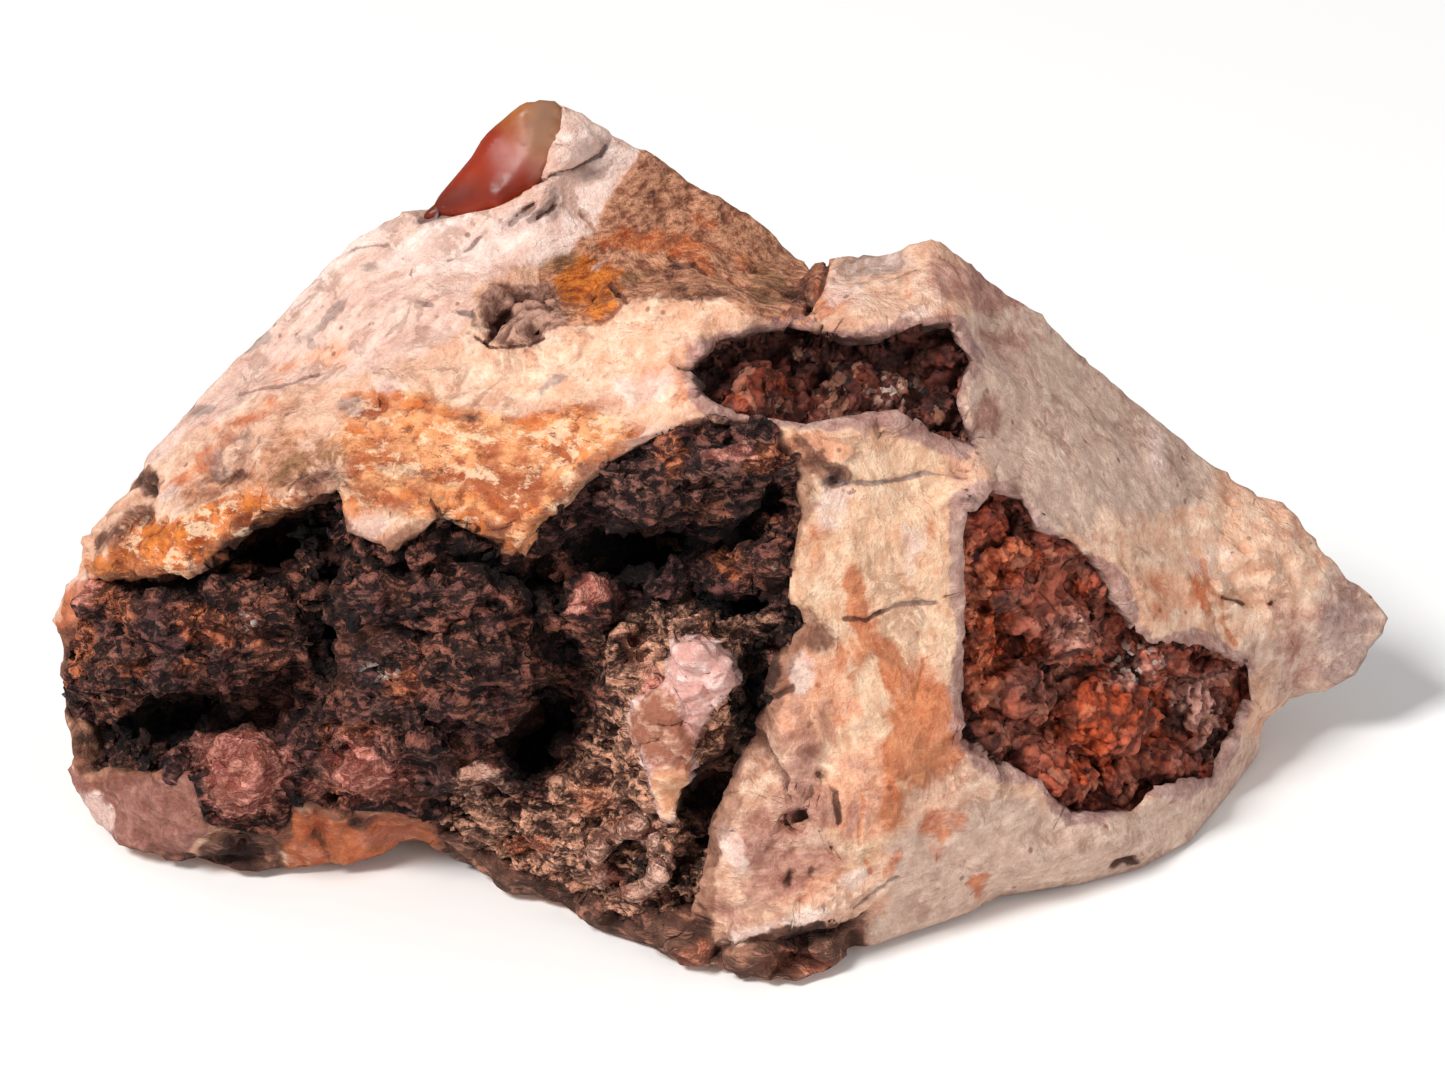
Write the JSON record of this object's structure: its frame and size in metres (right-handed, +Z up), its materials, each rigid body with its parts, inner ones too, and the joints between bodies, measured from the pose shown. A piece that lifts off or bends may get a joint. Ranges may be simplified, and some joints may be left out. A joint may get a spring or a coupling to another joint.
{
  "type": "fire opal in rhyolite matrix",
  "caption": "Rough fire opal: a broken lump of pale rhyolite with a glassy orange-brown opal seam at its peak, a brown iron-stained crust along its front and open hollows lined with crust.",
  "frame": {"origin": "the middle of the stone's length, on the flat base that it rests on", "axes": "+X along the stone's length, the opal's peak towards -X; +Y away from the show side; +Z up"},
  "size_m": [0.0686, 0.0369, 0.0357],
  "materials": {
    "rhyolite": "rough, pale pink and cream with orange iron stains",
    "opal": "glassy, translucent, orange-brown",
    "brown_crust": "dull, dark brown, knobbly",
    "red_crust": "red-brown, knobbly, partly glossy"
  },
  "bodies": {
    "root": {"rhyolite_matrix": "rhyolite", "fire_opal": "opal", "brown_crust": "brown_crust", "triangle_hollow_crust": "red_crust", "upper_hollow_crust": "red_crust"}
  },
  "joints": []
}
